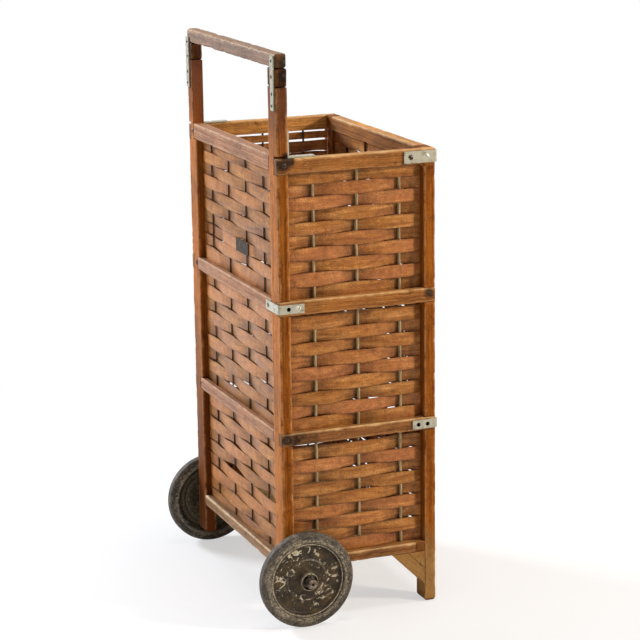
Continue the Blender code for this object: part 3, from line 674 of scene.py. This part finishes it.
# wall: turn, rows; stakes, their pitch, shift, width and depth (mm), reed; first row over, splint, slit (mm),
# share of stray slits, how much they grow row by row, odd rows
REED = (3.6, 3.6, shade_dark_stake)
WALLS = {"right": (0.0, SIDE_ROWS, (3, 73.5, 4.8, 5.0, 5.6, stake_wood), 0, splint_warm, 0.1, 0.6, 0.0, {}),
         "left": (math.pi, FAR_ROWS, (3, 73.5, 4.8, *REED), 0, splint_warm, 0.4, 0.8, 0.0, {}),
         "front": (math.pi / 2, FRONT_ROWS, (4, 82.8, 0.0, *REED), 0, splint_warm, 0.2, 0.6, 0.0, {}),
         "rear": (-math.pi / 2, REAR_ROWS, (4, 82.8, -9.0, 2.2, 2.4, shade_dark_stake), 1, splint_grey, 0.15,
                  0.9, 0.04, ODD_ROWS)}
for number, (wall, values) in enumerate(WALLS.items()):
    turn, runs, standing, first, wood, slit, stray, gape, odd = values
    stakes, pitch, shift, stake_wide, stake_deep, stake_finish = standing
    node = f"woven_wall_{wall}"
    low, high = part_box(node)
    along = 0 if wall in ("right", "left") else 1
    width = high[along] - low[along]
    relief = (stake_deep * MM + SPLINT_THICK) / 2 + LOOSE
    flush = (high[1 - along] - low[1 - along]) / 2 - relief - SPLINT_THICK / 2
    holder = row_points(node, runs, odd)
    modifier = holder.modifiers.new("weave", "NODES")
    modifier.node_group = weave
    settings = {"Wall Width": width - WALL_FIT, "Stake Pitch": pitch * MM, "Stake Shift": shift * MM,
                "Stake Top": min(high[2], STAKE_TOP), "Stake Foot": low[2] + 0.2 * MM,
                "Stake Wide": stake_wide * MM, "Stake Deep": stake_deep * MM, "Relief": relief,
                "Spread": LAP_SPREAD, "Slit": slit * MM, "Stray": stray, "Gape": gape, "Seed": 3.1 * number,
                "Stakes": stakes, "Along Steps": int(width / ALONG_STEP), "First Over": first, "Splint": wood,
                "Stake": stake_finish}
    for name, value in settings.items():
        modifier[sockets[name]] = value
    mesh = baked(holder)
    centre = Matrix.Translation(((low[0] + high[0]) / 2, (low[1] + high[1]) / 2, 0))
    mesh.transform(centre @ Matrix.Rotation(turn, 4, "Z") @ Matrix.Translation((0, -flush, 0)))
    add_piece(f"weave_{wall}", smoothed(mesh, 50), (), (node,))

# Irons
# Bent corner irons, mending plates and post brackets of dull zinc-plated steel strip, kept from the CAD
# with eased edges; slotted screws sit in some of their holes, the others stay empty as in the photo.


def zinc(name, base, dull, dirt):
    """Galvanised strip gone dull: mottled pale grey with darker tarnish and a little rust."""
    mat, node, bsdf = material(name)
    place = node("TexCoord", out="Object")
    rows = ((110.0, 3.0, 0.5), (700.0, 3.0, 0.6), (75.0, 4.0, 0.7))
    mottle, fine, rust = (node("TexNoise", Vector=place, Scale=scale, Detail=detail, Roughness=rough)
                          for scale, detail, rough in rows)
    colour = node("ValToRGB", weighed(node, (mottle, 0.5), (fine, 0.5)), stops=((0.36, dull), (0.52, base)))
    feed(bsdf, Base_Color=coated(node, colour, (node("MapRange", rust, 0.6, 0.72, 0.0, dirt), "#6B4A30")),
         Metallic=0.55, Roughness=node("MapRange", mottle, 0.3, 0.7, 0.55, 0.38),
         Normal=node("Bump", Strength=0.2, Distance=0.1 * MM, Height=fine))
    return mat


iron_zinc = zinc("dull zinc strip", "#B0AD9A", "#868270", 0.35)
screw_zinc = zinc("bright zinc screw", "#D6D2C4", "#8E897A", 0.2)
screw_iron = zinc("browned iron screw", "#463628", "#241A12", 0.8)
# painted shade: near black, as no light comes back out of empty holes, screw slots and countersinks
hole_shade, node, bsdf = material("painted shade in a screw hole")
feed(bsdf, Base_Color="#0B0705", Specular_IOR_Level=0.0)


def dress(names, mat):
    """Give the CAD nodes of these names a material."""
    for name in names:
        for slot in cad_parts[name].material_slots:
            slot.material = mat


def ease_edges(obj):
    """Round off the sheared edges of a strip."""
    ease = obj.modifiers.new("ease", "BEVEL")
    ease.width = 0.35 * MM
    ease.segments = 2
    ease.limit_method = "ANGLE"
    ease.angle_limit = math.radians(40)


strips = [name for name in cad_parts
          if name.startswith(("corner_iron", "mending_plate", "post_bracket", "axle_strap"))]
dress(strips, iron_zinc)
for name in strips:
    ease_edges(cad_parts[name])

# the empty holes are worn wide: the axis that each looks along, and its place along and up from the near rear
# corner, in mm
EMPTY_HOLES = {"corner_iron_upper_rear": ((1, 15.0, 519.6), (0, 44.0, 519.6)),
               "corner_iron_lower": ((1, 252.5, 306.2), (1, 236.5, 306.2))}
HOLE_REACH = 2.6 * MM
HOLE_RADIUS = 3.5 * MM
BEHIND = 0.15 * MM
# painted shade: a near-black disc just behind each empty hole stands for the shade inside it
bores = bmesh.new()
for name, holes in EMPTY_HOLES.items():
    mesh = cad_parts[name].data.copy()
    for axis, along, height in holes:
        centre = CORNER + Vector((0, 0, height * MM))
        centre[1 - axis] += along * MM
        for vertex in mesh.vertices:
            out = vertex.co - centre
            depth = out[axis]
            out[axis] = 0.0
            if out.length < HOLE_REACH and depth < 1.0 * MM:
                vertex.co = centre + out.normalized() * HOLE_RADIUS
                vertex.co[axis] += depth
        centre[axis] -= BEHIND
        look = Matrix.Rotation(math.pi / 2, 4, "X") if axis == 1 else Matrix.Rotation(-math.pi / 2, 4, "Y")
        bmesh.ops.create_circle(bores, cap_ends=True, segments=24, radius=HOLE_RADIUS + 0.3 * MM,
                                matrix=Matrix.Translation(centre) @ look)
    ease_edges(add_piece(f"strip_{name}", mesh, [iron_zinc], (name,)))
add_piece("empty_screw_holes", built("bores", bores), [hole_shade])

SCREW_STEPS = 20
SCREW_PROFILE = [(0.45, 0.27), (0.8, 0.14), (0.97, 0.0), (1.0, -0.02), (1.14, -0.02), (1.1, -0.35)]


def screw_mesh(radius, slot_turn):
    """A slotted screw head facing +Z, rim at z = 0, domed a little; slot and a ring round it painted as
    shade.
    """
    bm = bmesh.new()
    rings = [[bm.verts.new((0, 0, 0.32 * radius))] * SCREW_STEPS]
    turns = [math.tau * k / SCREW_STEPS for k in range(SCREW_STEPS)]
    for r, z in np.array(SCREW_PROFILE) * radius:
        rings.append([bm.verts.new((r * math.cos(a), r * math.sin(a), z)) for a in turns])
    for a, b in zip(rings, rings[1:]):
        for k in range(SCREW_STEPS):
            m = (k + 1) % SCREW_STEPS
            bm.faces.new((a[0], b[k], b[m]) if a is rings[0] else (a[k], b[k], b[m], a[m]))
    bm.faces.new(rings[-1][::-1])
    groove = (-1.2 * radius, -0.25 * radius, -0.08 * radius), (1.2 * radius, 0.25 * radius, radius)
    mesh = housed(built("screw", bm), [groove])
    # painted shade: the slot's faces and the ring outside the head take the near-black second material
    for polygon in mesh.polygons:
        x, y, z = polygon.center / radius
        polygon.material_index = int(abs(y) < 0.26 and -0.2 < z < 0.25 or math.hypot(x, y) > 0.99)
    mesh.transform(Matrix.Rotation(slot_turn, 4, "Z"))
    return mesh


FACES = {"-y": Matrix.Rotation(math.pi / 2, 4, "X"), "+y": Matrix.Rotation(-math.pi / 2, 4, "X"),
         "-x": Matrix.Rotation(-math.pi / 2, 4, "Y"), "+x": Matrix.Rotation(math.pi / 2, 4, "Y"),
         "+z": Matrix.Identity(4)}


def screws(name, mat, rows):
    """Slotted screws: for each face its distance from the near rear corner, then its screws.

    Each screw has its place along the other two axes, its radius (all in mm) and its slot's turn in degrees.
    """
    bm = bmesh.new()
    for face, off, places in rows:
        for u, v, radius, turn in places:
            at = [u, v]
            at.insert("xyz".index(face[1]), off)
            mesh = screw_mesh(radius * MM, math.radians(turn))
            mesh.transform(Matrix.Translation(CORNER + Vector(at) * MM) @ FACES[face])
            bm.from_mesh(mesh)
    add_piece(name, smoothed(built(name, bm), 35), [mat, hole_shade])


PROUD = 2.6
LONG, WIDE = 267.5, 425
screws("screws_in_irons", screw_zinc, [
    ("-y", -PROUD, [(252.5, 745.1, 4.0, -50), (31.0, 519.6, 4.4, 55)]),
    ("-x", -PROUD, [(15.0, 519.6, 3.6, 20)]),
    ("+x", LONG + PROUD, [(15.0, 745.1, 3.4, 10), (44.0, 745.1, 3.4, 80), (15.0, 306.2, 3.2, 40),
                          (44.0, 306.2, 3.2, 15), (410.0, 519.6, 3.2, 25), (381.0, 519.6, 3.2, 65)]),
    ("+y", WIDE + PROUD, [(252.5, 519.6, 3.2, 15), (236.5, 519.6, 3.2, 75)]),
    ("+z", 760.2, [(35.0, 8.8, 2.8, 30), (56.0, 8.8, 2.8, 65), (35.0, 416.2, 2.8, 10),
                   (56.0, 416.2, 2.8, 50)]),
    ("+x", 21.6, [(8.8, 777.0, 2.8, 40), (416.2, 777.0, 2.8, 70), (8.8, 793.0, 2.8, 15),
                  (416.2, 793.0, 2.8, 25)])])
screws("screws_in_wood", screw_iron, [
    ("-y", -PROUD, [(224.5, 745.1, 3.8, 35)]),
    ("-x", -PROUD, [(11.0, 839.6, 2.9, 30), (11.0, 858.2, 2.9, 75), (11.0, 884.4, 2.9, 10),
                    (11.0, 908.9, 2.9, 60), (417.0, 829.6, 2.9, 50), (417.0, 848.2, 2.9, 15),
                    (417.0, 874.4, 2.9, 80), (417.0, 898.9, 2.9, 35)]),
    ("-y", -0.1, [(12.9, 747.0, 3.5, 25), (256.0, 523.0, 3.4, 60), (9.2, 306.8, 3.3, 70),
                  (14.2, 907.3, 2.6, 20), (14.6, 885.9, 2.8, 65)]),
    ("+y", WIDE + 0.1, [(12.9, 747.0, 3.5, 45), (256.0, 745.0, 3.5, 15), (9.5, 519.0, 3.4, 80),
                        (9.2, 306.8, 3.3, 30), (256.0, 306.8, 3.3, 60), (14.2, 907.3, 2.6, 50),
                        (14.6, 885.9, 2.8, 5)]),
    ("-x", -0.1, [(402.0, 520.0, 3.0, 35), (398.0, 305.0, 3.0, 10), (406.0, 748.0, 3.2, 75)])])

# Wheels
# Pressed steel discs with a rolled rim, a raised boss and a hub tube, painted brown and chipped; hard
# rubber tyres, dry and scuffed. Both are turned about the axle line from finer profiles than the solids.
TYRE_STEPS = 144
DISC_STEPS = 288
axle_x, _, axle_z = (sum(ends) / 2 for ends in zip(*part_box("axle")))


def turned_mesh(name, profile, side, middle_y, steps):
    """A closed profile of (radius, distance outwards) in mm, turned about the axle line."""
    profile = np.array(profile) * MM
    spans = [math.dist(a, b) for a, b in zip(profile, np.roll(profile, -1, axis=0))]
    arc = np.concatenate([[0], np.cumsum(spans)])
    turns = [math.tau * k / steps for k in range(steps)]
    verts = [(axle_x + radius * math.cos(a), middle_y + side * out, axle_z + radius * math.sin(a))
             for a in turns for radius, out in profile]
    tread = [profile[:, 0].max() * math.tau * k / steps for k in range(steps + 1)]
    mesh = skinned(name, "turned", verts, tread, arc, flip=side > 0, swap=True)
    return smoothed(mesh, 55)


def arc_points(radius_at, out_at, radius, start, end, count):
    """Points on an arc in the profile's plane, angles in degrees from the radius axis."""
    turns = np.radians(np.linspace(start, end, count))
    return [(radius_at + radius * math.cos(a), out_at + radius * math.sin(a)) for a in turns]


# matt black gone brown and grey with dust
rubber, node, bsdf = material("dry scuffed rubber")
place = node("TexCoord", out="Object")
treads = node("VectorMath.MULTIPLY", node("UVMap", uv_map="turned"), (120, 520, 1))
# dust in 10 mm clouds, scuffs drawn out along the tread, pits and cracks a millimetre or two wide
dust = node("TexNoise", Vector=place, Scale=38.0, Detail=6.0, Roughness=0.75)
scuff = node("TexNoise", Vector=treads, Scale=1.0, Detail=6.0, Roughness=0.8, Distortion=0.3)
pits = node("TexNoise", Vector=place, Scale=300.0, Detail=4.0, Roughness=0.85)
band = weighed(node, (node("Attribute", attribute_name="band", out="Fac"), 1.0), (dust, 1.4), (-0.7, 1.0))
band = node("MapRange", band, 0.25, 0.85, 0.25, 1.0)
colour = node("ValToRGB", dust, stops=((0.36, "#151210"), (0.5, "#37312C"), (0.66, "#6C6154")))
pale = node("Math.MULTIPLY", node("MapRange", scuff, 0.44, 0.62, 0.05, 1.0), band)
colour = coated(node, colour, (pale, "#A99C84"), (pits, [(0.36, 0.25), (0.5, 1.0), (0.63, 1.6)]),
                (node("MapRange", pits, 0.33, 0.41, 0.7, 0.0), "#14100C"))
feed(bsdf, Base_Color=colour, Roughness=0.72, Specular_IOR_Level=0.35,
     Normal=node("Bump", Strength=0.8, Distance=0.6 * MM, Height=weighed(node, (dust, 0.4), (pits, 0.6))))

# dull dark brown that flakes and rubs off to pale metal; the pale rings on the rims are partly a painted
# highlight
disc_paint, node, bsdf = material("chipped brown paint on steel")
place = node("TexCoord", out="Object")
blotch = node("TexNoise", Vector=place, Scale=60.0, Detail=5.0, Roughness=0.65)
fleck = node("TexNoise", Vector=place, Scale=330.0, Detail=4.0, Roughness=0.7)
chips = node("TexNoise", Vector=place, Scale=62.0, Detail=4.0, Roughness=0.6, Distortion=1.6)
flaking, bare, dusty = (node("Attribute", attribute_name=key, out="Fac")
                        for key in ("flaking", "bare", "dusty"))
flaked = node("Math.MULTIPLY", node("MapRange", chips, 0.59, 0.62, 0.0, 1.0), flaking)
rubbed = node("Math.MULTIPLY", bare, node("MapRange", fleck, 0.36, 0.55, 0.5, 1.0))
rubbed = node("Math.MAXIMUM", rubbed, node("Math.MULTIPLY", flaked, 0.9))
metal = node("ValToRGB", fleck, stops=((0.4, "#978767"), (0.6, "#DCD2BA")))
# the inner face never lost its dust
settled = node("ValToRGB", fleck, stops=((0.36, "#231D12"), (0.5, "#453C28"), (0.64, "#7C7054")))
colour = node("ValToRGB", blotch, stops=((0.32, "#181109"), (0.5, "#322615"), (0.7, "#544225")))
colour = coated(node, colour, (fleck, [(0.32, 0.6), (0.5, 1.0), (0.68, 1.3)]),
                (node("MapRange", fleck, 0.62, 0.67, 0.0, 0.6), "#8C7F66"), (rubbed, metal),
                (node("Math.MULTIPLY", dusty, 0.75), settled))
relief = weighed(node, (blotch, 0.6), (fleck, 0.5), (flaked, -0.3))
feed(bsdf, Base_Color=colour, Roughness=node("MapRange", blotch, 0.3, 0.7, 0.45, 0.65), Metallic=0.1,
     Specular_IOR_Level=0.35, Normal=node("Bump", Strength=0.6, Distance=0.5 * MM, Height=relief))


def near(values, centre, reach, peak=1.0):
    """How close values come to one: the peak there, nothing a reach away, and never more than 1."""
    return np.clip(peak - np.abs(values - centre) / reach, 0, 1)


def rub_wheel(mesh, side, middle_y):
    """Write where a tyre's flat side is dusty, and where a disc's paint flakes, is dusty or is rubbed and
    lit.
    """
    places = np.array([v.co for v in mesh.vertices]) / MM
    radius = np.hypot(places[:, 0] - axle_x / MM, places[:, 2] - axle_z / MM)
    out = (places[:, 1] - middle_y / MM) * side
    # rings rubbed bare on the hub's end, the boss's edge and the lip, paler there partly as a painted
    # highlight
    hub = near(radius, 14.0, 1.2) * (out > 14) * 0.8
    rubbed = np.maximum(np.maximum(near(radius, 60.4, 1.0, 1.4), 0.45 * near(radius, 33.0, 1.0)), hub)
    flaking = np.clip((radius - 24) / 6, 0, 1) * np.clip((56 - radius) / 2, 0, 1)
    inwards = np.array([v.normal.y for v in mesh.vertices]) * side < -0.3
    write(mesh, band=near(radius, 66.5, 6.5), bare=rubbed * (out > 0), flaking=flaking * (out > 0),
          dusty=(1 - near(radius, 48, 1.5)) * inwards * (radius < 58))


for side_name, side in SIDES.items():
    body = f"wheel_{side_name}"
    low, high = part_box(f"tyre_{side_name}")
    middle = (low[1] + high[1]) / 2
    half = (high[1] - low[1]) / 2 / MM
    outer = (high[2] - low[2]) / 2 / MM
    seat, curl, round_off = 61.5, 2.4, 5.0
    tyre = arc_points(seat + curl, half - curl, curl, 180, 90, 5)
    tyre += [(seat + 4.6, half + 0.1), (seat + 5.2, half - 0.5), (seat + 7.0, half - 0.6), (seat + 7.8, half),
             (seat + 9.5, half - 0.1)]
    tyre += arc_points(outer - round_off, half - round_off, round_off, 78, 8, 7)
    crown = [(outer - 0.05, (half - round_off) * share) for share in (0.7, 0.3, 0.0, -0.3, -0.7)]
    mesh = turned_mesh("tyre", tyre + crown + [(r, -o) for r, o in reversed(tyre)], side, middle, TYRE_STEPS)
    rub_wheel(mesh, side, middle)
    add_piece(f"rubber_tyre_{side_name}", mesh, [rubber], (f"tyre_{side_name}",), body)

    low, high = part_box(f"wheel_disc_{side_name}")
    hub_in, hub_out = sorted(side * (y - middle) / MM for y in (low[1], high[1]))
    lip = half - 2.25
    web = lip - 5.5
    boss = web + 2.2
    profile = [(hub_out, [(8.3, -9.0), (12.3, -9.0), (12.4, -1.0), (12.9, -0.2), (13.5, 0.0), (14.1, -0.2),
                          (14.6, -0.9)]),
               (boss, [(14.6, 2.2), (15.0, 0.9), (16.2, 0.15), (18.0, 0.0), (24.0, 0.2), (29.0, 0.1),
                       (32.0, -0.1), (33.6, -0.6)]),
               (web, [(34.8, 0.7), (35.6, 0.1), *((r, 0.0) for r in np.linspace(36.5, 54.0, 15)), (55.4, 0.3),
                      (56.6, 1.3), (57.4, 3.0)]),
               (lip, [(58.2, -0.9), (59.2, -0.1), (60.2, 0.0), (61.0, -0.5), (61.2, -1.3)]),
               (-lip, [(61.2, 1.0), (60.2, 0.0), (59.0, 0.4), (57.8, 2.0)]),
               (web, [(56.8, -2.2), (55.0, -3.4), (50.0, -3.4), (49.0, -2.9), (48.0, -2.7), (47.0, -2.9),
                      (46.0, -3.4), (36.0, -3.4), (33.6, -1.6), (18.0, -1.6), (15.2, -2.4), (14.6, -4.0)]),
               (hub_in, [(14.6, 0.0), (8.3, 0.0)])]
    profile = [(radius, level + rise) for level, points in profile for radius, rise in points]
    mesh = turned_mesh("disc", profile, side, middle, DISC_STEPS)
    rub_wheel(mesh, side, middle)
    add_piece(f"painted_disc_{side_name}", mesh, [disc_paint], (f"wheel_disc_{side_name}",),
              body)

# Axle and what keeps the wheels on it
# A 16 mm steel rod with a centre mark in each end, two collars, washers and cotter pins; their shapes are the
# CAD's.
# a soft grey shine, broken by brown grease
axle_metal, node, bsdf = material("oily turned steel")
place = node("TexCoord", out="Object")
grease = node("TexNoise", Vector=place, Scale=140.0, Detail=4.0, Roughness=0.65)
# painted shade: the centre mark, 2 mm from the axle's line, is painted near black for the shade in its hollow
off_line = node("VectorMath.MULTIPLY_ADD", place, (1, 0, 1), (-axle_x, 0, -axle_z))
off_line = node("VectorMath.LENGTH", off_line, out="Value")
colour = node("ValToRGB", grease, stops=((0.35, "#3A2E24"), (0.55, "#75685A"), (0.75, "#A09484")))
colour = coated(node, colour, (node("MapRange", off_line, 2.0 * MM, 2.8 * MM, 0.9, 0.0), "#120D0A"))
feed(bsdf, Base_Color=colour, Metallic=0.6, Roughness=0.5,
     Normal=node("Bump", Strength=0.4, Distance=0.3 * MM, Height=grease))
keepers = [f"{kind}_{side}" for kind in ("axle_collar", "outer_washer", "cotter_pin") for side in SIDES]
dress(["axle"] + keepers, axle_metal)

# Tag
# A small blank plate of dark painted metal tacked to the rear weave, with a raised border and no lettering;
# its shape is the CAD's.
# near black with brown wear, hardly any shine
tag_paint, node, bsdf = material("worn near-black painted tag")
worn = node("TexNoise", Vector=node("TexCoord", out="Object"), Scale=300.0, Detail=5.0, Roughness=0.75)
colour = node("ValToRGB", worn, stops=((0.38, "#16100A"), (0.52, "#33271B"), (0.64, "#6C5940")))
feed(bsdf, Base_Color=colour, Roughness=0.6, Specular_IOR_Level=0.15,
     Normal=node("Bump", Strength=0.6, Distance=0.4 * MM, Height=worn))
dress(["tag"], tag_paint)

# Floor, light and camera
# A white studio floor that fades into a white backdrop, a large soft light from the right and front, one
# from the left, one from above, and the camera solved from the photo's edges.
bm = bmesh.new()
bmesh.ops.create_grid(bm, x_segments=1, y_segments=1, size=40)
floor = linked("floor", built("floor", bm))
# matt white that takes a soft shadow
floor_paint, node, bsdf = material("white studio floor")
feed(bsdf, Base_Color="#FBFBFA", Roughness=0.9)
# the floor has faded into the backdrop where its colour glows in full, 1.4 m off the middle
FADE_FROM, FADE_TO = 0.42, 1.4
gap = node("VectorMath.LENGTH", node("TexCoord", out="Object"), out="Value")
far = node("MapRange", gap, FADE_FROM, FADE_TO, 0.55, 1.0)
far = node("Math.MULTIPLY", far, node("LightPath", out="Is Camera Ray"))
mix = node("MixShader", far, bsdf.outputs[0], node("Emission", Color=(1, 1, 1, 1), Strength=1.0))
feed(floor_paint.node_tree.nodes["Material Output"], Surface=mix)
floor.data.materials.append(floor_paint)

AMBIENT = 0.2
world = bpy.data.worlds.new("studio")
bpy.context.scene.world = world
world.use_nodes = True
node = functools.partial(put, world.node_tree)
seen, glossy, through = (node("LightPath", out=f"Is {kind} Ray")
                         for kind in ("Camera", "Glossy", "Transmission"))
shown = node("Math.MAXIMUM", seen, node("Math.MAXIMUM", glossy, through))
feed(world.node_tree.nodes["Background"], Color=(1, 1, 1, 1),
     Strength=node("Math.MULTIPLY_ADD", shown, 1.0 - AMBIENT, AMBIENT))


def area_light(name, place, aim, size, power, colour):
    """A square soft light that looks at a point."""
    lamp = bpy.data.lights.new(name, "AREA")
    lamp.shape = "SQUARE"
    lamp.size = size
    lamp.energy = power
    lamp.color = srgb(colour)[:3]
    obj = linked(name, lamp)
    obj.location = place
    obj.rotation_euler = (Vector(aim) - Vector(place)).to_track_quat("-Z", "Y").to_euler()


area_light("right_light", (2.45, -2.2, 1.85), (0, 0, 0.45), 0.45, 93, "#FFEFDC")
area_light("left_light", (-1.9, 2.7, 1.9), (0, 0, 0.45), 0.9, 150, "#F1F5FF")
area_light("top_light", (0.2, -0.4, 3.6), (0, 0, 0.4), 1.2, 42, "#FFFFFF")

CAMERA_AT = (-1.30618, -3.40942, 1.31850)
CAMERA_LENS = 126.174
CAMERA_YAW, CAMERA_PITCH, CAMERA_ROLL = 21.5885, 13.4324, -0.7917
lens = bpy.data.cameras.new("camera")
lens.sensor_width = 36
lens.lens = CAMERA_LENS
lens.shift_x = -0.00109
lens.shift_y = -0.00008
lens.clip_end = 100
camera = linked("camera", lens)
camera.matrix_world = (Matrix.Translation(CAMERA_AT) @ Matrix.Rotation(math.radians(-CAMERA_YAW), 4, "Z")
                       @ Matrix.Rotation(math.radians(90 - CAMERA_PITCH), 4, "X")
                       @ Matrix.Rotation(math.radians(CAMERA_ROLL), 4, "Z"))
bpy.context.scene.camera = camera
bpy.context.scene.view_settings.view_transform = "Standard"
